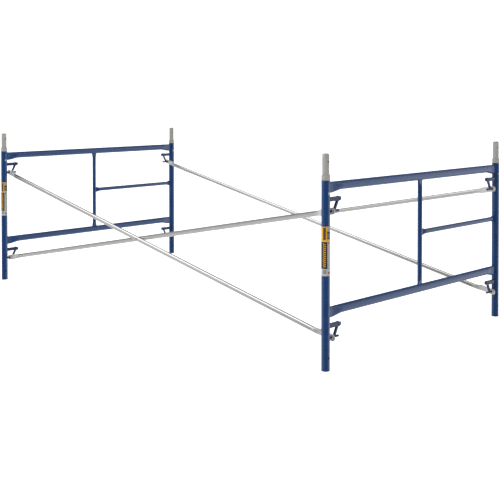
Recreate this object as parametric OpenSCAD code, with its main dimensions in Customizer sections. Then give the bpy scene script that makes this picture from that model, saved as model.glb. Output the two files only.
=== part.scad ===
// Scaffold bay: two steel end frames joined by two pairs of crossed braces.
// Each end frame has two tubular legs, a top and a bottom rail, a middle post,
// one half-width rung, a coupling pin in the top of each leg, and a stud with a
// drop latch at two heights on each leg to hold the brace ends.
// Units are millimetres. +X runs from one end frame to the other, +Y from the
// front legs to the rear legs, +Z up. The origin is on the ground at the middle.

/* [Bay] */
// Distance between the two end frames, measured on the leg axes
bay_length = 3048; // [1829:1:3048]
// Distance between the front and rear legs, measured on the leg axes
frame_width = 1524; // [914:1:1524]
// Length of a leg tube
leg_height = 914.4; // [914.4:0.1:1219.2]

/* [Frame tubes] */
// Outside diameter of the legs and of both rails
main_od = 42.2; // [42.2:0.1:44]
// Wall of the legs and of both rails
main_wall = 2.4; // [2.2:0.1:2.8]
// Height of the bottom rail's axis
bottom_rail_z = 283; // [278:1:290]
// Drop from the top of a leg to the top rail's axis
top_rail_drop = 30.4; // [28:0.1:32]
// Outside diameter of the middle post and of the rung
minor_od = 25.4; // [25.4:0.1:28]
// Wall of the middle post and of the rung
minor_wall = 2; // [1.6:0.1:2.6]
// Height of the rung's axis
rung_z = 584; // [560:1:610]

/* [Coupling pin] */
// Outside diameter of the coupling pin
pin_od = 34.9; // [34:0.1:35]
// Height of the collar that sits on the leg
collar_h = 25.4; // [20:0.1:30]
// Length of the pin above the collar
pin_reach = 101.6; // [90:0.1:110]
// Length of the pin inside the leg
pin_insert = 101.6; // [90:0.1:110]
// Diameter of the locking holes through the pin and the leg foot
cross_hole_d = 10.5; // [9:0.5:11]
// Distance of the locking hole from the collar or the leg foot
cross_hole_at = 63.5; // [60:0.5:66]

/* [Brace locks] */
// Height of the lower studs
stud_low_z = 152.4; // [140:0.1:160]
// Distance from the lower to the upper studs
stud_rise = 609.6; // [600:0.1:615]
// Diameter of a stud
stud_d = 12; // [11:0.1:12.5]
// Distance of a stud's tip from the leg axis
stud_tip = 96.5; // [94:0.5:100]
// Height of the lock arm's middle above the stud
arm_above = 58.3; // [58:0.1:60]
// Distance of the latch pivot from the leg axis
pivot_out = 89; // [88:0.5:91]
// Lean of the resting latch from the vertical, towards the leg
latch_lean = 27; // [26:0.5:28]

/* [Braces] */
// Outside diameter of the brace tube
brace_od = 26.7; // [25.4:0.1:27]
// Wall of the brace tube
brace_wall = 2; // [1.6:0.1:2.4]
// Width of the flattened brace end
brace_end_w = 34; // [32:1:36]
// Thickness of the flattened brace end
brace_end_t = 5; // [4:0.5:5]

/* [Hidden] */
half_bay = bay_length / 2;
half_width = frame_width / 2;
main_r = main_od / 2;
main_bore_r = main_r - main_wall;
minor_r = minor_od / 2;
minor_bore_r = minor_r - minor_wall;
top_rail_z = leg_height - top_rail_drop;

// Flattened rail end: thin across the frame plane, flaring downwards.
rail_end_t = 16;
rail_end_h = 54;
rail_end_full = 38;
rail_end_start = 108;

// Flattened ends of the post and of the rung.
minor_end_t = 8;
post_end_w = 37;
rung_end_h = 38;
minor_end_full = 10;
minor_end_run = 34;

// Coupling pin: the insert is a close fit in the drawn-in top of the leg.
pin_r = pin_od / 2;
pin_wall = 3.6;
pin_tip_chamfer = 5;
insert_gap = 0.05;
relief_h = 5;
relief_cut = 0.4;
rivet_drop = 63.5;
pin_rivet_r = 4.5;
pin_rivet_head_r = 6.5;
pin_rivet_head_h = 2.2;

// Lock arm: an inverted channel of bent sheet, open below.
arm_w = 18;
arm_h = 20.2;
arm_sheet = 2.5;
arm_tip = 104;
arm_slot_from = 74;
latch_t = 12.2;
latch_half = 5;
latch_len = 52.8;
latch_head_r = 12.5;
latch_sheet = 1.9;
latch_slot_from = 14;
lock_rivet_r = 4;
lock_rivet_head_r = 6;
lock_rivet_head_h = 1.8;
running_gap = 0.06;

// Crossed braces: a pair shares one mid plane inboard of the legs.
pair_plane = 46;
brace_plate = 41;
brace_r = brace_od / 2;
brace_bore_r = brace_r - brace_wall;
washer_t = 1.5;
tube_shift = brace_r + washer_t / 2;
brace_hole_r = stud_d / 2 + 1;
brace_end_beyond = 25;
brace_plate_run = 65;
brace_taper_run = 100;
brace_angle = atan(stud_rise / bay_length);
half_brace = sqrt(bay_length * bay_length + stud_rise * stud_rise) / 2;
cross_z = stud_low_z + stud_rise / 2;
front_pair_y = -half_width + pair_plane;
rear_pair_y = half_width - pair_plane;
front_outer_y = front_pair_y - tube_shift;
front_inner_y = front_pair_y + tube_shift;
rear_inner_y = rear_pair_y - tube_shift;
rear_outer_y = rear_pair_y + tube_shift;
front_plate_y = -half_width + brace_plate;
rear_plate_y = half_width - brace_plate;
cross_pin_r = 5;
cross_head_r = 9;
cross_head_h = 3.6;
cross_washer_r = 11;

// Labels wrapped round the front legs.
label_low_z = 458;
label_high_z = 694;
label_t = 0.3;
label_from = -150;
label_to = 40;

blue = [0.11, 0.24, 0.43];
dark_blue = [0.07, 0.12, 0.24];
zinc = [0.66, 0.66, 0.64];
bright_zinc = [0.78, 0.78, 0.76];
label_yellow = [0.96, 0.66, 0.1];
fine = 96;
slim = 32;
eps = 0.01;

stud_high_z = stud_low_z + stud_rise;

// Puts a leg's own parts in place: local +Y points inwards along the frame.
module at_leg(side, row) {
    translate([side * half_bay, row * half_width, 0])
        rotate([0, 0, row > 0 ? 180 : 0])
            children();
}

// A flat bar with round edges: thick across X, tall along Z, running along Y.
module edge_rounded_slab(thick, tall, run) {
    translate([-thick / 2, 0, -(tall - thick) / 2])
        cube([thick, run, tall - thick]);
    for (up = [-1, 1])
        translate([0, 0, up * (tall - thick) / 2])
            rotate([-90, 0, 0])
                cylinder(d = thick, h = run, $fn = fine);
}

// The same bar as thin rounds only, as one side of a smooth change of section.
module slab_edge(thick, tall, run) {
    for (up = [-1, 1])
        translate([0, 0, up * (tall - thick) / 2])
            rotate([-90, 0, 0])
                cylinder(d = thick, h = run, $fn = slim);
}

module leg_tube() {
    drawn_z = leg_height - pin_insert - 1;
    difference() {
        cylinder(r = main_r, h = leg_height, $fn = fine);
        translate([0, 0, -1])
            cylinder(r = main_bore_r, h = drawn_z - relief_h + 1, $fn = fine);
        translate([0, 0, drawn_z - relief_h - eps])
            cylinder(r = main_bore_r + relief_cut, h = relief_h + eps, $fn = fine);
        translate([0, 0, drawn_z - eps])
            cylinder(r = pin_r + insert_gap, h = pin_insert + 2, $fn = fine);
        translate([0, 0, cross_hole_at])
            rotate([0, 90, 0])
                cylinder(d = cross_hole_d, h = main_od + 2, center = true, $fn = fine);
        translate([0, 0, leg_height - rivet_drop])
            rotate([0, 90, 0])
                cylinder(r = pin_rivet_r, h = main_od + 2, center = true, $fn = fine);
    }
}

// One flattened rail end, from the leg axis to the round tube.
module rail_end() {
    translate([0, 0, main_r - rail_end_h / 2])
        edge_rounded_slab(rail_end_t, rail_end_h, rail_end_full);
    hull() {
        translate([0, rail_end_full - 1, main_r - rail_end_h / 2])
            slab_edge(rail_end_t, rail_end_h, 1);
        translate([0, rail_end_start, 0])
            rotate([-90, 0, 0])
                cylinder(r = main_r, h = 1, $fn = 48);
    }
}

module rail(z) {
    straight = frame_width - 2 * rail_end_start;
    difference() {
        union() {
            translate([0, -straight / 2, z])
                rotate([-90, 0, 0])
                    cylinder(r = main_r, h = straight, $fn = fine);
            for (row = [-1, 1])
                translate([0, row * half_width, z])
                    rotate([0, 0, row > 0 ? 180 : 0])
                        rail_end();
        }
        translate([0, -straight / 2 + 2, z])
            rotate([-90, 0, 0])
                cylinder(r = main_bore_r, h = straight - 4, $fn = fine);
        for (row = [-1, 1])
            translate([0, row * half_width, z - 100])
                cylinder(r = main_r, h = 200, $fn = fine);
    }
}

// One flattened end of a light tube, running along +Y from the joint face.
module minor_end(tall) {
    edge_rounded_slab(minor_end_t, tall, minor_end_full);
    hull() {
        translate([0, minor_end_full - 1, 0])
            slab_edge(minor_end_t, tall, 1);
        translate([0, minor_end_run, 0])
            rotate([-90, 0, 0])
                cylinder(r = minor_r, h = 1, $fn = slim);
    }
}

module mid_post() {
    low = bottom_rail_z + main_r - 3;
    high = top_rail_z - main_r + 3;
    difference() {
        union() {
            translate([0, 0, low + minor_end_run])
                cylinder(r = minor_r, h = high - low - 2 * minor_end_run, $fn = fine);
            translate([0, 0, low])
                rotate([90, 0, 0])
                    minor_end(post_end_w);
            translate([0, 0, high])
                rotate([-90, 0, 0])
                    minor_end(post_end_w);
        }
        translate([0, 0, low + minor_end_run + 2])
            cylinder(r = minor_bore_r, h = high - low - 2 * minor_end_run - 4, $fn = fine);
        for (z = [bottom_rail_z, top_rail_z])
            translate([0, 0, z])
                rotate([90, 0, 0])
                    cylinder(r = main_r, h = 100, center = true, $fn = fine);
    }
}

module rung() {
    near = minor_r - 3;
    far = half_width - main_r + 3;
    difference() {
        union() {
            translate([0, near + minor_end_run, rung_z])
                rotate([-90, 0, 0])
                    cylinder(r = minor_r, h = far - near - 2 * minor_end_run, $fn = fine);
            translate([0, near, rung_z])
                minor_end(rung_end_h);
            translate([0, far, rung_z])
                rotate([0, 0, 180])
                    minor_end(rung_end_h);
        }
        translate([0, near + minor_end_run + 2, rung_z])
            rotate([-90, 0, 0])
                cylinder(r = minor_bore_r, h = far - near - 2 * minor_end_run - 4, $fn = fine);
        translate([0, 0, rung_z - 50])
            cylinder(r = minor_r, h = 100, $fn = fine);
        translate([0, half_width, rung_z - 50])
            cylinder(r = main_r, h = 100, $fn = fine);
    }
}

// Tubular pin with a pressed collar and a chamfered tip, made as one turned shape.
module coupling_pin() {
    tip_z = leg_height + collar_h + pin_reach;
    difference() {
        rotate_extrude($fn = fine)
            polygon([
                [pin_r - pin_wall, leg_height - pin_insert],
                [pin_r, leg_height - pin_insert],
                [pin_r, leg_height],
                [main_r, leg_height],
                [main_r, leg_height + collar_h - 1],
                [main_r - 1, leg_height + collar_h],
                [pin_r, leg_height + collar_h],
                [pin_r, tip_z - pin_tip_chamfer],
                [pin_r - 2, tip_z - 1.2],
                [pin_r - 3, tip_z],
                [pin_r - pin_wall, tip_z]
            ]);
        translate([0, 0, leg_height + collar_h + cross_hole_at])
            rotate([0, 90, 0])
                cylinder(d = cross_hole_d, h = main_od + 2, center = true, $fn = fine);
        translate([0, 0, leg_height - rivet_drop])
            rotate([0, 90, 0])
                cylinder(r = pin_rivet_r, h = main_od + 2, center = true, $fn = fine);
    }
}

// A round-headed rivet along X, centred on the origin, with a shank and two heads.
module x_rivet(shank_r, grip, head_r, head_h) {
    rotate([0, 90, 0])
        cylinder(r = shank_r, h = grip, center = true, $fn = fine);
    dome_r = (head_r * head_r + head_h * head_h) / (2 * head_h);
    for (end = [-1, 1])
        intersection() {
            translate([end * (grip / 2 - dome_r + head_h), 0, 0])
                sphere(r = dome_r, $fn = fine);
            translate([end * (grip / 2 + head_h), 0, 0])
                cube([2 * head_h, 4 * head_r, 4 * head_r], center = true);
        }
}

module lock_arm(z) {
    side = arm_w / 2 - arm_sheet;
    difference() {
        translate([-arm_w / 2, 0, z])
            rotate([90, 0, 90])
                linear_extrude(arm_w)
                    polygon([
                        [0, -arm_h / 2],
                        [arm_tip - 5, -arm_h / 2],
                        [arm_tip, -arm_h / 2 + 5],
                        [arm_tip, arm_h / 2 - 1],
                        [arm_tip - 1, arm_h / 2],
                        [0, arm_h / 2]
                    ]);
        translate([-side, -1, z - arm_h / 2 - 1])
            cube([2 * side, arm_tip + 2, arm_h - arm_sheet + 1]);
        translate([-side, arm_slot_from, z - arm_h])
            cube([2 * side, arm_tip, 2 * arm_h]);
        translate([0, 0, z - 50])
            cylinder(r = main_r, h = 100, $fn = fine);
        translate([0, pivot_out, z])
            rotate([0, 90, 0])
                cylinder(r = lock_rivet_r + running_gap, h = arm_w + 2, center = true, $fn = fine);
    }
}

module stud(z) {
    difference() {
        union() {
            translate([0, 10, z])
                rotate([-90, 0, 0])
                    cylinder(d = stud_d, h = stud_tip - stud_d / 2 - 10, $fn = fine);
            translate([0, stud_tip - stud_d / 2, z])
                sphere(d = stud_d, $fn = fine);
        }
        translate([0, 0, z - 50])
            cylinder(r = main_r, h = 100, $fn = fine);
    }
}

// The drop latch hangs from its rivet down to the stud. It is a channel of bent
// sheet, open towards the leg.
module latch(z) {
    inner = latch_t / 2 - latch_sheet;
    translate([0, pivot_out, z + arm_above])
        rotate([-latch_lean, 0, 0])
            rotate([0, 90, 0])
                difference() {
                    translate([0, 0, -latch_t / 2])
                        union() {
                            cylinder(r = latch_head_r, h = latch_t, $fn = fine);
                            translate([0, -latch_half, 0])
                                cube([latch_len, 2 * latch_half, latch_t]);
                            translate([latch_len, 0, 0])
                                cylinder(r = latch_half, h = latch_t, $fn = fine);
                        }
                    cylinder(r = lock_rivet_r + running_gap, h = latch_t + 2, center = true, $fn = fine);
                    translate([latch_slot_from, -latch_half - 1, -inner])
                        cube([latch_len - latch_slot_from, 2 * latch_half - latch_sheet + 1, 2 * inner]);
                }
}

// One flattened end of a brace along +X, from the tube to beyond the stud hole.
module brace_end(plate_y) {
    round_r = brace_end_w / 2;
    start = half_brace - brace_plate_run;
    round_at = half_brace + brace_end_beyond - round_r;
    difference() {
        union() {
            translate([start, plate_y - brace_end_t / 2, -round_r])
                cube([round_at - start, brace_end_t, brace_end_w]);
            translate([round_at, plate_y, 0])
                rotate([90, 0, 0])
                    cylinder(r = round_r, h = brace_end_t, center = true, $fn = fine);
            hull() {
                translate([start, plate_y - brace_end_t / 2, -round_r])
                    cube([1, brace_end_t, brace_end_w]);
                translate([half_brace - brace_taper_run, 0, 0])
                    rotate([0, 90, 0])
                        cylinder(r = brace_r, h = 1, $fn = slim);
            }
        }
        translate([half_brace, plate_y, 0])
            rotate([90, 0, 0])
                cylinder(r = brace_hole_r, h = 2 * brace_end_t, center = true, $fn = fine);
    }
}

// Places a brace: tube_y is where its tube's axis runs, and turn is its slope.
module at_brace(tube_y, turn) {
    translate([0, tube_y, cross_z])
        rotate([0, turn, 0])
            children();
}

module brace_tube() {
    run = 2 * (half_brace - brace_taper_run);
    difference() {
        rotate([0, 90, 0])
            cylinder(r = brace_r, h = run, center = true, $fn = fine);
        rotate([0, 90, 0])
            cylinder(r = brace_bore_r, h = run - 4, center = true, $fn = fine);
        rotate([90, 0, 0])
            cylinder(r = cross_pin_r + running_gap, h = 2 * brace_od, center = true, $fn = fine);
    }
}

// Both flattened ends of a brace; plate_y is measured from its tube's axis.
module brace_ends(plate_y) {
    brace_end(plate_y);
    rotate([0, 180, 0])
        brace_end(plate_y);
}

// Rivet and spacing washer where the two braces of a pair cross.
module brace_pivot(y) {
    grip = 4 * brace_r + washer_t;
    translate([0, y, cross_z]) {
        rotate([0, 0, 90])
            x_rivet(cross_pin_r, grip, cross_head_r, cross_head_h);
        rotate([90, 0, 0])
            difference() {
                cylinder(r = cross_washer_r, h = washer_t, center = true, $fn = fine);
                cylinder(r = cross_pin_r + running_gap, h = 2 * washer_t, center = true, $fn = fine);
            }
    }
}

module leg_label() {
    difference() {
        intersection() {
            translate([0, 0, label_low_z])
                cylinder(r = main_r + label_t, h = label_high_z - label_low_z, $fn = fine);
            translate([0, 0, label_low_z - 1])
                linear_extrude(label_high_z - label_low_z + 2)
                    polygon([
                        [0, 0],
                        [60 * cos(label_from), 60 * sin(label_from)],
                        [0, -90],
                        [70, -70],
                        [60 * cos(label_to), 60 * sin(label_to)]
                    ]);
        }
        cylinder(r = main_r, h = leg_height, $fn = fine);
    }
}

module left_front_leg() { color(blue) at_leg(-1, -1) leg_tube(); }
module left_rear_leg() { color(blue) at_leg(-1, 1) leg_tube(); }
module right_front_leg() { color(blue) at_leg(1, -1) leg_tube(); }
module right_rear_leg() { color(blue) at_leg(1, 1) leg_tube(); }

module left_top_rail() { color(blue) translate([-half_bay, 0, 0]) rail(top_rail_z); }
module right_top_rail() { color(blue) translate([half_bay, 0, 0]) rail(top_rail_z); }
module left_bottom_rail() { color(blue) translate([-half_bay, 0, 0]) rail(bottom_rail_z); }
module right_bottom_rail() { color(blue) translate([half_bay, 0, 0]) rail(bottom_rail_z); }

module left_mid_post() { color(blue) translate([-half_bay, 0, 0]) mid_post(); }
module right_mid_post() { color(blue) translate([half_bay, 0, 0]) mid_post(); }
module left_rung() { color(blue) translate([-half_bay, 0, 0]) rung(); }
module right_rung() { color(blue) translate([half_bay, 0, 0]) rung(); }

module left_front_pin() { color(zinc) at_leg(-1, -1) coupling_pin(); }
module left_rear_pin() { color(zinc) at_leg(-1, 1) coupling_pin(); }
module right_front_pin() { color(zinc) at_leg(1, -1) coupling_pin(); }
module right_rear_pin() { color(zinc) at_leg(1, 1) coupling_pin(); }

module coupling_pin_rivets() {
    color(bright_zinc)
        for (side = [-1, 1])
            for (row = [-1, 1])
                at_leg(side, row)
                    translate([0, 0, leg_height - rivet_drop])
                        x_rivet(pin_rivet_r, main_od, pin_rivet_head_r, pin_rivet_head_h);
}

module left_front_upper_arm() { color(dark_blue) at_leg(-1, -1) lock_arm(stud_high_z + arm_above); }
module left_front_lower_arm() { color(dark_blue) at_leg(-1, -1) lock_arm(stud_low_z + arm_above); }
module left_rear_upper_arm() { color(dark_blue) at_leg(-1, 1) lock_arm(stud_high_z + arm_above); }
module left_rear_lower_arm() { color(dark_blue) at_leg(-1, 1) lock_arm(stud_low_z + arm_above); }
module right_front_upper_arm() { color(dark_blue) at_leg(1, -1) lock_arm(stud_high_z + arm_above); }
module right_front_lower_arm() { color(dark_blue) at_leg(1, -1) lock_arm(stud_low_z + arm_above); }
module right_rear_upper_arm() { color(dark_blue) at_leg(1, 1) lock_arm(stud_high_z + arm_above); }
module right_rear_lower_arm() { color(dark_blue) at_leg(1, 1) lock_arm(stud_low_z + arm_above); }

module left_front_upper_stud() { color(dark_blue) at_leg(-1, -1) stud(stud_high_z); }
module left_front_lower_stud() { color(dark_blue) at_leg(-1, -1) stud(stud_low_z); }
module left_rear_upper_stud() { color(dark_blue) at_leg(-1, 1) stud(stud_high_z); }
module left_rear_lower_stud() { color(dark_blue) at_leg(-1, 1) stud(stud_low_z); }
module right_front_upper_stud() { color(dark_blue) at_leg(1, -1) stud(stud_high_z); }
module right_front_lower_stud() { color(dark_blue) at_leg(1, -1) stud(stud_low_z); }
module right_rear_upper_stud() { color(dark_blue) at_leg(1, 1) stud(stud_high_z); }
module right_rear_lower_stud() { color(dark_blue) at_leg(1, 1) stud(stud_low_z); }

module left_front_upper_latch() { color(dark_blue) at_leg(-1, -1) latch(stud_high_z); }
module left_front_lower_latch() { color(dark_blue) at_leg(-1, -1) latch(stud_low_z); }
module left_rear_upper_latch() { color(dark_blue) at_leg(-1, 1) latch(stud_high_z); }
module left_rear_lower_latch() { color(dark_blue) at_leg(-1, 1) latch(stud_low_z); }
module right_front_upper_latch() { color(dark_blue) at_leg(1, -1) latch(stud_high_z); }
module right_front_lower_latch() { color(dark_blue) at_leg(1, -1) latch(stud_low_z); }
module right_rear_upper_latch() { color(dark_blue) at_leg(1, 1) latch(stud_high_z); }
module right_rear_lower_latch() { color(dark_blue) at_leg(1, 1) latch(stud_low_z); }

module lock_rivets() {
    color(dark_blue)
        for (side = [-1, 1])
            for (row = [-1, 1])
                for (z = [stud_low_z, stud_high_z])
                    at_leg(side, row)
                        translate([0, pivot_out, z + arm_above])
                            x_rivet(lock_rivet_r, arm_w, lock_rivet_head_r, lock_rivet_head_h);
}

module front_falling_brace() { color(bright_zinc) at_brace(front_outer_y, brace_angle) brace_tube(); }
module front_rising_brace() { color(bright_zinc) at_brace(front_inner_y, -brace_angle) brace_tube(); }
module rear_falling_brace() { color(bright_zinc) at_brace(rear_inner_y, brace_angle) brace_tube(); }
module rear_rising_brace() { color(bright_zinc) at_brace(rear_outer_y, -brace_angle) brace_tube(); }

module front_falling_brace_ends() {
    color(bright_zinc) at_brace(front_outer_y, brace_angle) brace_ends(front_plate_y - front_outer_y);
}
module front_rising_brace_ends() {
    color(bright_zinc) at_brace(front_inner_y, -brace_angle) brace_ends(front_plate_y - front_inner_y);
}
module rear_falling_brace_ends() {
    color(bright_zinc) at_brace(rear_inner_y, brace_angle) brace_ends(rear_plate_y - rear_inner_y);
}
module rear_rising_brace_ends() {
    color(bright_zinc) at_brace(rear_outer_y, -brace_angle) brace_ends(rear_plate_y - rear_outer_y);
}

module front_brace_pivot() { color(zinc) brace_pivot(front_pair_y); }
module rear_brace_pivot() { color(zinc) brace_pivot(rear_pair_y); }

module left_leg_label() { color(label_yellow) at_leg(-1, -1) leg_label(); }
module right_leg_label() { color(label_yellow) at_leg(1, -1) leg_label(); }

left_front_leg();
left_rear_leg();
right_front_leg();
right_rear_leg();
left_top_rail();
right_top_rail();
left_bottom_rail();
right_bottom_rail();
left_mid_post();
right_mid_post();
left_rung();
right_rung();
left_front_pin();
left_rear_pin();
right_front_pin();
right_rear_pin();
coupling_pin_rivets();
left_front_upper_arm();
left_front_lower_arm();
left_rear_upper_arm();
left_rear_lower_arm();
right_front_upper_arm();
right_front_lower_arm();
right_rear_upper_arm();
right_rear_lower_arm();
left_front_upper_stud();
left_front_lower_stud();
left_rear_upper_stud();
left_rear_lower_stud();
right_front_upper_stud();
right_front_lower_stud();
right_rear_upper_stud();
right_rear_lower_stud();
left_front_upper_latch();
left_front_lower_latch();
left_rear_upper_latch();
left_rear_lower_latch();
right_front_upper_latch();
right_front_lower_latch();
right_rear_upper_latch();
right_rear_lower_latch();
lock_rivets();
front_falling_brace();
front_rising_brace();
rear_falling_brace();
rear_rising_brace();
front_falling_brace_ends();
front_rising_brace_ends();
rear_falling_brace_ends();
rear_rising_brace_ends();
front_brace_pivot();
rear_brace_pivot();
left_leg_label();
right_leg_label();
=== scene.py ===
import math

import bpy
from mathutils import Matrix, Vector


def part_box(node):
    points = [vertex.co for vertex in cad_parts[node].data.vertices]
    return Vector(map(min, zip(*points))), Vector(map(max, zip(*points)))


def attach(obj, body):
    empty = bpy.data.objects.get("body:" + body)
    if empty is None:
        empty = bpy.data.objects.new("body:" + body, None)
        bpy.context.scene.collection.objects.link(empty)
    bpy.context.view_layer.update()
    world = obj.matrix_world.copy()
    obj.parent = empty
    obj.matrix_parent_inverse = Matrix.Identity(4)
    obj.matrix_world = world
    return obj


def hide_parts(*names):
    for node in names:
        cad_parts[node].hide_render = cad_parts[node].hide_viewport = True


# A scaffold bay: two blue tube frames joined by two pairs of crossed zinc braces.
# Lengths are metres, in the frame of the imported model: +X along the bay,
# +Y from the front legs to the rear legs, +Z up.

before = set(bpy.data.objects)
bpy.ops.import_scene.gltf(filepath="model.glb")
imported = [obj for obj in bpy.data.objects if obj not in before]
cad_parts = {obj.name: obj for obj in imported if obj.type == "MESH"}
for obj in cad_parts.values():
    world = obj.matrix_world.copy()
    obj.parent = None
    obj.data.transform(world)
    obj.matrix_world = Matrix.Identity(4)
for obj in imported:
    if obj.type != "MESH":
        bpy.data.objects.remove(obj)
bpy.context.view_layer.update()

MM = 0.001
SIDES = {"left": -1, "right": 1}
ROWS = {"front": -1, "rear": 1}
LEVELS = ("lower", "upper")
CORNERS = [(side, row) for side in SIDES for row in ROWS]


# ---------------------------------------------------------------- places in the frame

def middle(node):
    low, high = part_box(node)
    return (low + high) / 2


def extent(node):
    low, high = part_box(node)
    return high - low


def leg_axis(side, row):
    spot = middle(f"{side}_{row}_leg")
    return Vector((spot.x, spot.y, 0))


MAIN_R = extent("left_front_leg").x / 2
MINOR_R = extent("left_rung").x / 2
HALF_BAY = abs(middle("left_front_leg").x)
HALF_WIDTH = abs(middle("left_front_leg").y)
RAIL_Z = {rail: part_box(f"left_{rail}")[1].z - MAIN_R for rail in ("top_rail", "bottom_rail")}
RUNG_Z = middle("left_rung").z
LABEL_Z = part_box("left_leg_label")[0].z
STUD_Z = {level: middle(f"left_front_{level}_stud").z for level in LEVELS}
ARM_Z = {level: middle(f"left_front_{level}_arm").z for level in LEVELS}
STUD_R = extent("left_front_lower_stud").z / 2
ARM_HALF = extent("left_front_lower_arm") / 2

# Flattened tube ends: half thickness and half height of the flat, and how far from the joint
# the flat stops and the full round starts.
RAIL_FLAT = (8 * MM, 27 * MM)
RAIL_RUN = (38 * MM, 108 * MM)
POST_FLAT = (4 * MM, 18.5 * MM)
RUNG_FLAT = (4 * MM, 19 * MM)
MINOR_RUN = (8 * MM, 34 * MM)

# Braces: the tube's radius, half the plate's thickness and height, the stud hole's radius, how far in
# from the stud the tube is round and the plate ends, how far the plate reaches past the stud, how far
# the plates lie inboard of the leg's axis, and the slope.
BRACE_R = 13.35 * MM
BRACE_FLAT = (2.5 * MM, 17 * MM)
BRACE_HOLE_R = 7 * MM
BRACE_TAPER = 100 * MM
BRACE_PLATE = 65 * MM
BRACE_BEYOND = 25 * MM
PLATE_INBOARD = 41 * MM
BRACE_RISE = STUD_Z["upper"] - STUD_Z["lower"]
BRACE_LEAN = math.atan2(BRACE_RISE, 2 * HALF_BAY)


# ---------------------------------------------------------------- mesh helpers

def mesh_object(name, points, faces, sharp_degrees=35):
    """A smooth shaded object, with hard edges where faces meet at more than sharp_degrees."""
    mesh = bpy.data.meshes.new(name)
    mesh.from_pydata([tuple(p) for p in points], [], faces)
    mesh.validate()
    mesh.polygons.foreach_set("use_smooth", [True] * len(mesh.polygons))
    mesh.set_sharp_from_angle(angle=math.radians(sharp_degrees))
    thing = bpy.data.objects.new(name, mesh)
    bpy.context.scene.collection.objects.link(thing)
    return thing


def finish_piece(thing, body, material):
    """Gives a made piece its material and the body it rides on."""
    thing.data.materials.append(material)
    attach(thing, body)
    return thing


def oval(half_u, half_w, mid_u=0.0, mid_w=0.0, count=40):
    """Points round a bar's section: a circle when both halves match, else a slab with round edges."""
    corner = min(half_u, half_w)
    points = []
    for i in range(count):
        angle = 2 * math.pi * (i + 0.5) / count
        u = corner * math.cos(angle) + math.copysign(half_u - corner, math.cos(angle))
        w = corner * math.sin(angle) + math.copysign(half_w - corner, math.sin(angle))
        points.append((u + mid_u, w + mid_w))
    return points


def ease(t):
    t = max(0.0, min(1.0, t))
    smooth = t * t * (3 - 2 * t)
    return 0.5 * t + 0.5 * smooth


def between(a, b, t):
    return a + (b - a) * t


def loft(stations, place):
    """Rings along local X joined into a closed skin. A station is (x, half_u, half_w, mid_u, mid_w)."""
    points = []
    faces = []
    count = 40
    for x, half_u, half_w, mid_u, mid_w in stations:
        for u, w in oval(half_u, half_w, mid_u, mid_w, count):
            points.append(place @ Vector((x, u, w)))
    for ring in range(len(stations) - 1):
        for i in range(count):
            a = ring * count + i
            b = ring * count + (i + 1) % count
            faces.append((a, b, b + count, a + count))
    last = (len(stations) - 1) * count
    faces.append(tuple(reversed(range(count))))
    faces.append(tuple(range(last, last + count)))
    if place.determinant() < 0:
        faces = [tuple(reversed(face)) for face in faces]
    return points, faces


def joined(parts):
    """Several (points, faces) lists as one."""
    points = []
    faces = []
    for some_points, some_faces in parts:
        base = len(points)
        points.extend(some_points)
        faces.extend(tuple(i + base for i in face) for face in some_faces)
    return points, faces


def flattened_ends(start, end, run, round_r, flat, shift, steps=10):
    """Stations of a tube whose two ends are flattened over the given run from each joint.

    shift is how far the flat's middle moves along w so that one edge of the tube stays straight.
    """
    def station(x, t):
        half_u = between(flat[0], round_r, t)
        half_w = between(flat[1], round_r, t)
        return (x, half_u, half_w, 0.0, shift * (half_w - round_r))

    full, begin = run
    near = [station(start, 0.0)]
    near += [station(start + between(full, begin, i / steps), ease(i / steps)) for i in range(steps + 1)]
    far = [(start + end - x, u, w, mu, mw) for x, u, w, mu, mw in reversed(near)]
    return near + far


# ---------------------------------------------------------------- node helpers

class Nodes:
    """Short names for the shader nodes this script uses."""

    def __init__(self, tree):
        self.tree = tree

    def add(self, kind, **settings):
        node = self.tree.nodes.new(kind)
        for key, value in settings.items():
            setattr(node, key, value)
        return node

    def feed(self, socket, value):
        if isinstance(value, bpy.types.NodeSocket):
            self.tree.links.new(value, socket)
        else:
            socket.default_value = value

    def coords(self, kind="Object"):
        return self.add("ShaderNodeTexCoord").outputs[kind]

    def math(self, operation, a, b=0.0):
        node = self.add("ShaderNodeMath", operation=operation)
        self.feed(node.inputs[0], a)
        self.feed(node.inputs[1], b)
        return node.outputs[0]

    def noise(self, vector, scale, detail=3.0, rough=0.5):
        node = self.add("ShaderNodeTexNoise")
        self.feed(node.inputs["Vector"], vector)
        node.inputs["Scale"].default_value = scale
        node.inputs["Detail"].default_value = detail
        node.inputs["Roughness"].default_value = rough
        return node.outputs["Fac"]

    def cells(self, vector, scale):
        node = self.add("ShaderNodeTexVoronoi")
        self.feed(node.inputs["Vector"], vector)
        node.inputs["Scale"].default_value = scale
        return node.outputs["Color"]

    def spread(self, value, low, high, to_low=0.0, to_high=1.0):
        node = self.add("ShaderNodeMapRange", clamp=True)
        self.feed(node.inputs["Value"], value)
        node.inputs["From Min"].default_value = low
        node.inputs["From Max"].default_value = high
        node.inputs["To Min"].default_value = to_low
        node.inputs["To Max"].default_value = to_high
        return node.outputs["Result"]

    def blend(self, factor, a, b):
        node = self.add("ShaderNodeMix", data_type="RGBA")
        self.feed(node.inputs[0], factor)
        self.feed(node.inputs[6], a)
        self.feed(node.inputs[7], b)
        return node.outputs[2]

    def bump(self, height, strength, distance):
        node = self.add("ShaderNodeBump")
        node.inputs["Strength"].default_value = strength
        node.inputs["Distance"].default_value = distance
        self.feed(node.inputs["Height"], height)
        return node.outputs["Normal"]

    def split(self, vector):
        node = self.add("ShaderNodeSeparateXYZ")
        self.feed(node.inputs[0], vector)
        return node.outputs


def shader(name):
    material = bpy.data.materials.new(name)
    material.use_nodes = True
    nodes = Nodes(material.node_tree)
    surface = material.node_tree.nodes["Principled BSDF"]
    return material, nodes, surface


def grey(value):
    return (value, value, value, 1.0)


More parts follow.
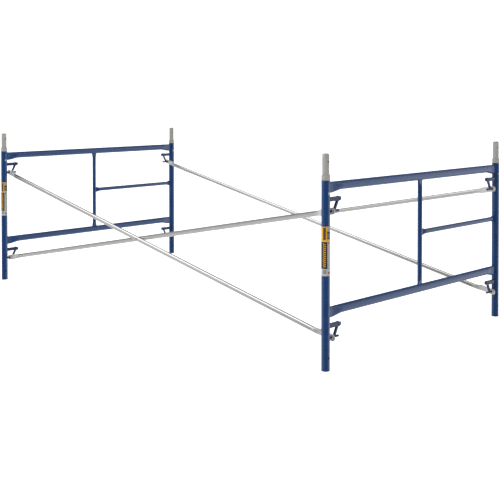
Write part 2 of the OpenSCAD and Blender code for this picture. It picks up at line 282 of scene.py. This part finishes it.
# ---------------------------------------------------------------- materials

def enamel(name, deep, pale, scuff, gloss, index):
    """Sprayed enamel on steel tube: orange peel, faint clouding and small dull scuffs."""
    material, nodes, surface = shader(name)
    place = nodes.coords()
    cloud = nodes.noise(place, 9.0, 4.0)
    base = nodes.blend(nodes.spread(cloud, 0.3, 0.7), deep, pale)
    speck = nodes.noise(place, 350.0, 2.0)
    base = nodes.blend(nodes.spread(speck, 0.62, 0.75, 0.0, 0.15), base, pale)
    rub = nodes.math("MULTIPLY", nodes.spread(nodes.noise(place, 60.0, 6.0, 0.7), 0.62, 0.72),
                     nodes.spread(nodes.noise(place, 5.0, 2.0), 0.5, 0.65))
    base = nodes.blend(nodes.math("MULTIPLY", rub, 0.15), base, scuff)
    rough = nodes.spread(cloud, 0.3, 0.7, gloss - 0.04, gloss + 0.04)
    rough = nodes.math("ADD", rough, nodes.math("MULTIPLY", rub, 0.2))
    peel = nodes.noise(place, 300.0, 2.0)
    nodes.feed(surface.inputs["Base Color"], base)
    nodes.feed(surface.inputs["Roughness"], rough)
    nodes.feed(surface.inputs["Normal"], nodes.bump(peel, 0.08, 0.3 * MM))
    surface.inputs["IOR"].default_value = index
    return material


def zinc_coat(name, dark, light, spangle, gloss, metal):
    """Hot dipped zinc: faint crystal patches, dull stains and fine grain."""
    material, nodes, surface = shader(name)
    place = nodes.coords()
    patch = nodes.split(nodes.cells(place, spangle))[0]
    stain = nodes.noise(place, 14.0, 5.0, 0.65)
    base = nodes.blend(nodes.spread(patch, 0.0, 1.0), dark, light)
    base = nodes.blend(nodes.spread(stain, 0.55, 0.75, 0.0, 0.4), base, dark)
    rough = nodes.math("ADD", nodes.spread(patch, 0.0, 1.0, gloss - 0.03, gloss + 0.03),
                       nodes.spread(stain, 0.4, 0.7, 0.0, 0.06))
    grain = nodes.noise(place, 500.0, 3.0)
    nodes.feed(surface.inputs["Base Color"], base)
    nodes.feed(surface.inputs["Roughness"], rough)
    nodes.feed(surface.inputs["Normal"], nodes.bump(grain, 0.05, 0.2 * MM))
    surface.inputs["Metallic"].default_value = metal
    return material


def drawn_zinc(name, lean):
    """Bright zinc on a drawn tube: streaks along it, and dull pressed ends beside the frames."""
    material, nodes, surface = shader(name)
    place = nodes.coords()
    along = nodes.add("ShaderNodeMapping")
    nodes.feed(along.inputs["Vector"], place)
    along.inputs["Rotation"].default_value = (0.0, lean, 0.0)
    along.inputs["Scale"].default_value = (3.0, 160.0, 160.0)
    streak = nodes.noise(along.outputs["Vector"], 1.0, 3.0)
    stain = nodes.noise(place, 14.0, 5.0, 0.65)
    bright_to = HALF_BAY - 120 * MM
    dull_from = HALF_BAY - 75 * MM
    pressed = nodes.spread(nodes.math("ABSOLUTE", nodes.split(place)[0]), bright_to, dull_from)
    base = nodes.blend(nodes.spread(streak, 0.4, 0.7, 0.0, 0.5), (0.73, 0.72, 0.71, 1), grey(0.61))
    base = nodes.blend(nodes.spread(stain, 0.55, 0.75, 0.0, 0.35), base, grey(0.5))
    base = nodes.blend(nodes.math("MULTIPLY", pressed, 0.8), base, grey(0.66))
    rough = nodes.math("ADD", nodes.spread(stain, 0.35, 0.7, 0.11, 0.19),
                       nodes.math("MULTIPLY", pressed, 0.35))
    nodes.feed(surface.inputs["Base Color"], base)
    nodes.feed(surface.inputs["Roughness"], rough)
    nodes.feed(surface.inputs["Metallic"], nodes.spread(pressed, 0.0, 1.0, 0.95, 0.1))
    nodes.feed(surface.inputs["Normal"], nodes.bump(nodes.noise(place, 300.0, 3.0), 0.015, 0.2 * MM))
    return material


def label_film(name, axis):
    """Printed film wrapped round a leg: plain coloured panels, bars and dots with no lettering."""
    material, nodes, surface = shader(name)
    place = nodes.coords()
    x, y, z = nodes.split(place)
    angle = nodes.math("ARCTAN2", nodes.math("SUBTRACT", y, axis.y), nodes.math("SUBTRACT", x, axis.x))
    angle = nodes.math("MULTIPLY", angle, 180 / math.pi)
    height = nodes.math("SUBTRACT", nodes.math("MULTIPLY", z, 1000.0), LABEL_Z / MM)

    def within(value, low, high):
        return nodes.math("MULTIPLY", nodes.math("GREATER_THAN", value, low),
                          nodes.math("LESS_THAN", value, high))

    def panel(low_angle, high_angle, low_z, high_z):
        return nodes.math("MULTIPLY", within(angle, low_angle, high_angle),
                          within(height, low_z, high_z))

    def stripes(value, pitch, share):
        return nodes.math("LESS_THAN", nodes.math("FRACT", nodes.math("DIVIDE", value, pitch)), share)

    def dot(at_angle, at_z, radius):
        mm_per_degree = MAIN_R / MM * math.pi / 180
        across = nodes.math("MULTIPLY", nodes.math("SUBTRACT", angle, at_angle), mm_per_degree)
        up = nodes.math("SUBTRACT", height, at_z)
        far = nodes.math("ADD", nodes.math("MULTIPLY", across, across), nodes.math("MULTIPLY", up, up))
        return nodes.math("LESS_THAN", far, radius * radius)

    yellow = (0.82, 0.42, 0.03, 1.0)
    black = (0.035, 0.032, 0.030, 1.0)
    brown = (0.11, 0.075, 0.03, 1.0)
    white = grey(0.56)
    silver = grey(0.44)
    steel = grey(0.20)
    red = (0.42, 0.05, 0.02, 1.0)
    slant = nodes.math("ADD", height, nodes.math("MULTIPLY", angle, 0.12))

    # Panels run over degrees round the leg and millimetres up the label, later ones on top.
    colour = nodes.blend(nodes.noise(place, 30.0), white, grey(0.5))
    colour = nodes.blend(panel(-180, 180, 165.5, 246), colour, yellow)
    colour = nodes.blend(panel(-83, -46, 173, 232), colour, brown)
    colour = nodes.blend(panel(-26, 45, 173, 230), colour, grey(0.32))
    for low, high in ((201, 212), (191, 197), (178, 186)):
        colour = nodes.blend(panel(-30, 45, low, high), colour, black)
    colour = nodes.blend(panel(-180, -27, 34.5, 163), colour, black)
    marks = nodes.math("MULTIPLY", panel(-86, -45, 40, 158), stripes(slant, 9.5, 0.45))
    colour = nodes.blend(marks, colour, yellow)
    colour = nodes.blend(panel(-27, 45, 30, 163), colour, silver)
    colour = nodes.blend(nodes.math("MULTIPLY", panel(-86, -38, 11, 29), stripes(height, 5.0, 0.7)),
                         colour, steel)
    colour = nodes.blend(dot(-4, 159, 4.5), colour, red)
    colour = nodes.blend(dot(2, 15, 7.0), colour, red)
    rough = nodes.spread(nodes.noise(place, 80.0), 0.3, 0.7, 0.32, 0.42)
    nodes.feed(surface.inputs["Base Color"], colour)
    nodes.feed(surface.inputs["Roughness"], rough)
    nodes.feed(surface.inputs["Normal"], nodes.bump(nodes.noise(place, 120.0), 0.08, 0.3 * MM))
    return material


FRAME_BLUE = enamel("frame_blue", (0.005, 0.048, 0.182, 1), (0.007, 0.056, 0.205, 1),
                    (0.05, 0.09, 0.18, 1), 0.28, 1.8)
LOCK_BLUE = enamel("lock_blue", (0.005, 0.026, 0.095, 1), (0.008, 0.033, 0.115, 1),
                   (0.06, 0.08, 0.13, 1), 0.28, 1.6)
PIN_ZINC = zinc_coat("pin_zinc", (0.45, 0.43, 0.41, 1), (0.50, 0.48, 0.46, 1), 160.0, 0.6, 0.15)
RIVET_ZINC = zinc_coat("rivet_zinc", grey(0.6), grey(0.7), 400.0, 0.35, 0.6)
BRACE_ZINC = {"falling": drawn_zinc("falling_brace_zinc", -BRACE_LEAN),
              "rising": drawn_zinc("rising_brace_zinc", BRACE_LEAN)}


def dress(node, material):
    """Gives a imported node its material."""
    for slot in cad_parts[node].material_slots:
        slot.material = material


def soften(node, width):
    """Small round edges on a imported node, without touching its mesh."""
    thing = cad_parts[node]
    weld = thing.modifiers.new("join", "WELD")
    weld.merge_threshold = 0.00001
    bevel = thing.modifiers.new("edge", "BEVEL")
    bevel.width = width
    bevel.segments = 3
    bevel.limit_method = "ANGLE"
    bevel.angle_limit = math.radians(40)
    normals = thing.modifiers.new("shade", "WEIGHTED_NORMAL")
    normals.keep_sharp = False


# ---------------------------------------------------------------- frame tubes
# hidden: where a tube's end stops, inside the wall of the tube it is welded to.

def rail(side, which):
    z = RAIL_Z[which]
    x = SIDES[side] * HALF_BAY
    hidden = 19.2 * MM
    place = Matrix(((0, 1, 0, x), (1, 0, 0, 0), (0, 0, 1, z), (0, 0, 0, 1)))
    run = (RAIL_RUN[0] - hidden, RAIL_RUN[1] - hidden)
    stations = flattened_ends(-HALF_WIDTH + hidden, HALF_WIDTH - hidden, run, MAIN_R, RAIL_FLAT, -1.0)
    thing = mesh_object(f"{side}_{which}_tube", *loft(stations, place))
    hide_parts(f"{side}_{which}")
    return finish_piece(thing, "frames", FRAME_BLUE)


def mid_post(side):
    x = SIDES[side] * HALF_BAY
    hidden = 19.8 * MM
    low = RAIL_Z["bottom_rail"] + hidden
    high = RAIL_Z["top_rail"] - hidden
    place = Matrix(((0, 1, 0, x), (0, 0, 1, 0), (1, 0, 0, 0), (0, 0, 0, 1)))
    stations = flattened_ends(low, high, MINOR_RUN, MINOR_R, POST_FLAT, 0.0)
    thing = mesh_object(f"{side}_post_tube", *loft(stations, place))
    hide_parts(f"{side}_mid_post")
    return finish_piece(thing, "frames", FRAME_BLUE)


def rung(side):
    x = SIDES[side] * HALF_BAY
    into_post = 1.2 * MM
    hidden = 19.6 * MM
    start = MINOR_R - into_post
    end = HALF_WIDTH - hidden
    place = Matrix(((0, 1, 0, x), (1, 0, 0, 0), (0, 0, 1, RUNG_Z), (0, 0, 0, 1)))
    stations = flattened_ends(start, end, MINOR_RUN, MINOR_R, RUNG_FLAT, 0.0)
    thing = mesh_object(f"{side}_rung_tube", *loft(stations, place))
    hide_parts(f"{side}_rung")
    return finish_piece(thing, "frames", FRAME_BLUE)


# ---------------------------------------------------------------- weld beads

WELD_SMOOTH = 80

# Half sizes of the outlines that the beads follow, and the beads' radii.
RAIL_BEAD = (RAIL_FLAT[0] + 0.6 * MM, RAIL_FLAT[1] + 0.6 * MM)
ARM_BEAD = (ARM_HALF.x + 0.2 * MM, ARM_HALF.z + 0.2 * MM)
STUD_BEAD = (STUD_R + 0.4 * MM, STUD_R + 0.4 * MM)
POST_BEAD = (POST_FLAT[0] + 0.5 * MM, POST_FLAT[1] + 0.5 * MM)
RUNG_BEAD = (RUNG_FLAT[0] + 0.5 * MM, RUNG_FLAT[1] + 0.5 * MM)
BIG_WELD = 2.6 * MM
MINOR_WELD = 2.0 * MM
LOCK_WELD = 1.9 * MM


def bead(path, radius):
    """A closed weld bead along a path: a small tube whose girth swells with each ripple."""
    sides = 8
    pitch = 4.5 * MM
    length = sum((path[i] - path[i - 1]).length for i in range(len(path)))
    ripples = max(6, round(length / pitch))
    centre = sum(path, Vector()) / len(path)
    points = []
    faces = []
    travelled = 0.0
    for i, spot in enumerate(path):
        travelled += (spot - path[i - 1]).length
        along = (path[(i + 1) % len(path)] - path[i - 1]).normalized()
        outward = spot - centre
        outward = (outward - along * outward.dot(along)).normalized()
        up = along.cross(outward)
        phase = ripples * travelled / length
        girth = radius * (0.82 + 0.22 * abs(math.cos(math.pi * phase)))
        for k in range(sides):
            turn = 2 * math.pi * k / sides
            points.append(spot + (outward * math.cos(turn) + up * math.sin(turn)) * girth)
    for i in range(len(path)):
        for k in range(sides):
            a = i * sides + k
            b = i * sides + (k + 1) % sides
            c = ((i + 1) % len(path)) * sides
            faces.append((a, b, c + (k + 1) % sides, c + k))
    return points, faces


def dense_oval(half_u, half_w):
    """An even run of points round a slab's outline."""
    step = 1.1 * MM
    rough = [Vector(p) for p in oval(half_u, half_w, count=48)]
    points = []
    for i, a in enumerate(rough):
        b = rough[(i + 1) % len(rough)]
        cuts = max(1, round((b - a).length / step))
        points.extend(a.lerp(b, k / cuts) for k in range(cuts))
    return points


def over_tube(radius, u):
    """How far a bead's middle lies from a tube's axis, at u beside it."""
    proud = 0.3 * MM
    return math.sqrt(max(radius * radius - u * u, 0.0)) + proud


def leg_bead(axis, inward, outline, z, radius):
    path = []
    for u, w in dense_oval(*outline):
        path.append(axis + Vector((u, inward * over_tube(MAIN_R, u), z + w)))
    return bead(path, radius)


def leg_welds(side, row):
    """All the weld beads on one leg: its rails, its lock arms, its studs and perhaps a rung."""
    axis = leg_axis(side, row)
    inward = -ROWS[row]
    parts = []
    for which in RAIL_Z:
        z = RAIL_Z[which] + MAIN_R - RAIL_FLAT[1]
        parts.append(leg_bead(axis, inward, RAIL_BEAD, z, BIG_WELD))
    for level in LEVELS:
        parts.append(leg_bead(axis, inward, ARM_BEAD, ARM_Z[level], LOCK_WELD))
        parts.append(leg_bead(axis, inward, STUD_BEAD, STUD_Z[level], LOCK_WELD))
    if row == "rear":
        parts.append(leg_bead(axis, inward, RUNG_BEAD, RUNG_Z, MINOR_WELD))
    thing = mesh_object(f"{side}_{row}_leg_welds", *joined(parts), WELD_SMOOTH)
    return finish_piece(thing, "frames", FRAME_BLUE)


def middle_welds(side):
    """The beads at both ends of the middle post and where the rung meets it."""
    x = SIDES[side] * HALF_BAY
    parts = []
    for which, up in (("bottom_rail", 1), ("top_rail", -1)):
        path = []
        for u, w in dense_oval(*POST_BEAD):
            path.append(Vector((x + u, w, RAIL_Z[which] + up * over_tube(MAIN_R, u))))
        parts.append(bead(path, MINOR_WELD))
    path = []
    for u, w in dense_oval(*RUNG_BEAD):
        path.append(Vector((x + u, over_tube(MINOR_R, u), RUNG_Z + w)))
    parts.append(bead(path, MINOR_WELD))
    thing = mesh_object(f"{side}_middle_welds", *joined(parts), WELD_SMOOTH)
    return finish_piece(thing, "frames", FRAME_BLUE)


# ---------------------------------------------------------------- braces

def pressed_end(half_length, plate_y):
    """Stations of a brace's +X end, from its rounded tip inwards to where the tube is round."""
    thick, half_h = BRACE_FLAT
    tip = half_length + BRACE_BEYOND
    steps = 14
    stations = []
    for i in range(1, steps + 1):
        turn = math.radians(90 - 90 * i / steps)
        back = half_h * (1 - math.sin(turn))
        rolled = math.sqrt(max(thick ** 2 - max(thick - back, 0.0) ** 2, 0.0))
        stations.append((tip - back, rolled, half_h * math.cos(turn), plate_y, 0.0))
    for i in range(steps + 1):
        part = ease(i / steps)
        stations.append((half_length - between(BRACE_PLATE, BRACE_TAPER, i / steps),
                         between(thick, BRACE_R, part), between(half_h, BRACE_R, part),
                         between(plate_y, 0.0, part), 0.0))
    return stations


def punch(thing, place, spots):
    """Cuts a stud hole with soft edges at each (x, y) spot, leaving one closed skin."""
    thick = BRACE_FLAT[0]
    lip = 0.5 * MM
    profile = ((-thick - lip, 2 * lip), (-thick + lip, 0.0), (thick - lip, 0.0), (thick + lip, 2 * lip))
    parts = []
    for x, y in spots:
        upright = place @ Matrix(((0, 1, 0, x), (1, 0, 0, y), (0, 0, -1, 0), (0, 0, 0, 1)))
        rings = []
        for depth, extra in profile:
            rings.append((depth, BRACE_HOLE_R + extra, BRACE_HOLE_R + extra, 0.0, 0.0))
        parts.append(loft(rings, upright))
    cutter = mesh_object("stud_hole_cutter", *joined(parts))
    cut = thing.modifiers.new("holes", "BOOLEAN")
    cut.operation = "DIFFERENCE"
    cut.solver = "EXACT"
    cut.object = cutter
    done = bpy.data.meshes.new_from_object(thing.evaluated_get(bpy.context.evaluated_depsgraph_get()))
    done.name = thing.name
    thing.modifiers.clear()
    thing.data = done
    done.set_sharp_from_angle(angle=math.radians(35))
    bpy.data.objects.remove(cutter)


def brace(row, slope, body):
    """One brace: a round tube whose ends are pressed flat and jog to the plane of the stud washers."""
    tube = f"{row}_{slope}_brace"
    spot = middle(tube)
    turn = BRACE_LEAN if slope == "falling" else -BRACE_LEAN
    place = Matrix.Translation(spot) @ Matrix.Rotation(turn, 4, "Y")
    half = math.hypot(HALF_BAY, BRACE_RISE / 2)
    plate_y = ROWS[row] * (HALF_WIDTH - PLATE_INBOARD) - spot.y
    near = pressed_end(half, plate_y)
    far = [(-x, u, w, mid_u, mid_w) for x, u, w, mid_u, mid_w in near]
    thing = mesh_object(f"{tube}_tube", *loft(far + list(reversed(near)), place))
    punch(thing, place, [(-half, plate_y), (half, plate_y)])
    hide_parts(tube, f"{tube}_ends")
    return finish_piece(thing, body, BRACE_ZINC[slope])


# ---------------------------------------------------------------- camera, light and floor

def camera():
    """The view of the photograph: from the right front corner, a little above the frames."""
    lens = bpy.data.cameras.new("view")
    lens.sensor_width = 36
    lens.lens = 66.09
    lens.shift_x = -0.038
    lens.shift_y = -0.2776
    lens.clip_start = 0.1
    lens.clip_end = 200
    eye = bpy.data.objects.new("view", lens)
    eye.location = (4.4219, -4.0467, 1.3326)
    eye.rotation_euler = (math.radians(90 - 1.17), 0, math.radians(44.965))
    bpy.context.scene.collection.objects.link(eye)
    bpy.context.scene.camera = eye


def soft_light(name, size, power, place, target, shows_in_gloss):
    lamp = bpy.data.lights.new(name, "AREA")
    lamp.shape = "DISK"
    lamp.size = size
    lamp.energy = power
    thing = bpy.data.objects.new(name, lamp)
    thing.location = place
    thing.rotation_euler = (Vector(target) - Vector(place)).to_track_quat("-Z", "Y").to_euler()
    thing.visible_glossy = shows_in_gloss
    thing.visible_camera = False
    bpy.context.scene.collection.objects.link(thing)


def studio_sky():
    """White surroundings to the eye. In reflections: a grey horizon, a softbox high on the left, and
    a dark quarter on the front right, where a studio has its open side."""
    world = bpy.data.worlds.new("studio")
    bpy.context.scene.world = world
    world.use_nodes = True
    nodes = Nodes(world.node_tree)
    sky = world.node_tree.nodes["Background"]
    direction = nodes.coords("Generated")

    def towards(x, y, z):
        facing = nodes.add("ShaderNodeVectorMath", operation="DOT_PRODUCT")
        nodes.feed(facing.inputs[0], direction)
        facing.inputs[1].default_value = Vector((x, y, z)).normalized()
        return facing.outputs["Value"]

    height = nodes.split(direction)[2]
    ramp = nodes.add("ShaderNodeValToRGB")
    nodes.feed(ramp.inputs["Fac"], nodes.spread(height, -1.0, 1.0))
    elements = ramp.color_ramp.elements
    elements.remove(elements[1])
    elements[0].position = 0.0
    elements[0].color = grey(0.72)
    for place, value in ((-0.25, 0.72), (0.0, 0.46), (0.35, 0.42), (0.7, 0.22), (1.0, 0.4)):
        elements.new((place + 1) / 2).color = grey(value)
    # Factors that dim or lift parts of the surroundings.
    open_side = nodes.spread(towards(1, -1, -0.1), 0.05, 0.75, 1.0, 0.03)
    left_front = nodes.spread(towards(1, 1, 0), -0.8, 0.0, 0.92, 1.0)
    back_wall = nodes.spread(towards(0.4, 1, 0), 0.8, 0.96, 1.0, 1.7)
    dark_ceiling = nodes.spread(towards(-0.5, 0.45, 0.75), 0.75, 0.95, 1.0, 0.3)
    level = ramp.outputs["Color"]
    for factor in (open_side, left_front, back_wall, dark_ceiling):
        level = nodes.math("MULTIPLY", level, factor)

    # Lamps: the softbox with a fainter one below it, and a weak one behind on the right.
    low_lamp = nodes.spread(towards(-0.50, -0.75, 0.45), 0.8, 0.97, 0.0, 0.45)
    softbox = nodes.spread(towards(-0.48, -0.21, 0.85), 0.89, 0.94, 0.0, 1.5)
    back_lamp = nodes.spread(towards(0.65, 0.65, 0.45), 0.75, 0.95, 0.0, 0.34)
    level = nodes.math("ADD", level, nodes.math("MAXIMUM", low_lamp, softbox))
    level = nodes.math("ADD", level, back_lamp)

    seen = nodes.add("ShaderNodeLightPath").outputs["Is Camera Ray"]
    level = nodes.math("MAXIMUM", level, nodes.math("MULTIPLY", seen, 1.1))
    sky.inputs["Color"].default_value = (1, 1, 1, 1)
    nodes.feed(sky.inputs["Strength"], level)


def floor():
    half = 30.0
    corners = [(-half, -half, 0), (half, -half, 0), (half, half, 0), (-half, half, 0)]
    thing = mesh_object("floor", corners, [(0, 1, 2, 3)])
    material, nodes, surface = shader("floor_white")
    surface.inputs["Base Color"].default_value = (0.86, 0.86, 0.86, 1)
    surface.inputs["Roughness"].default_value = 0.9
    surface.inputs["Specular IOR Level"].default_value = 0.0
    surface.inputs["Emission Color"].default_value = (1, 1, 1, 1)
    seen = nodes.add("ShaderNodeLightPath").outputs["Is Camera Ray"]
    nodes.feed(surface.inputs["Emission Strength"], nodes.spread(seen, 0.0, 1.0, 0.4, 1.0))
    thing.data.materials.append(material)
    thing.visible_glossy = False


# ---------------------------------------------------------------- the whole object

def build():
    for side in SIDES:
        for which in RAIL_Z:
            rail(side, which)
        mid_post(side)
        rung(side)
        middle_welds(side)
        dress(f"{side}_leg_label", label_film(f"{side}_label_film", leg_axis(side, "front")))
    for side, row in CORNERS:
        leg_welds(side, row)
        dress(f"{side}_{row}_leg", FRAME_BLUE)
        dress(f"{side}_{row}_pin", PIN_ZINC)
        for level in LEVELS:
            dress(f"{side}_{row}_{level}_stud", LOCK_BLUE)
            for part in ("arm", "latch"):
                dress(f"{side}_{row}_{level}_{part}", LOCK_BLUE)
                soften(f"{side}_{row}_{level}_{part}", 0.9 * MM)
    dress("coupling_pin_rivets", RIVET_ZINC)
    dress("lock_rivets", LOCK_BLUE)
    for row in ROWS:
        brace(row, "falling", f"{row}_brace_pair")
        brace(row, "rising", f"{row}_rising_brace")
        dress(f"{row}_brace_pivot", PIN_ZINC)


camera()
studio_sky()
soft_light("key", 3.0, 150, (1.0, -5.0, 5.0), (0, 0, 0.4), False)
soft_light("fill", 3.0, 30, (6.0, 1.0, 3.5), (0, 0, 0.4), False)
floor()
bpy.context.scene.view_settings.view_transform = "Standard"
build()
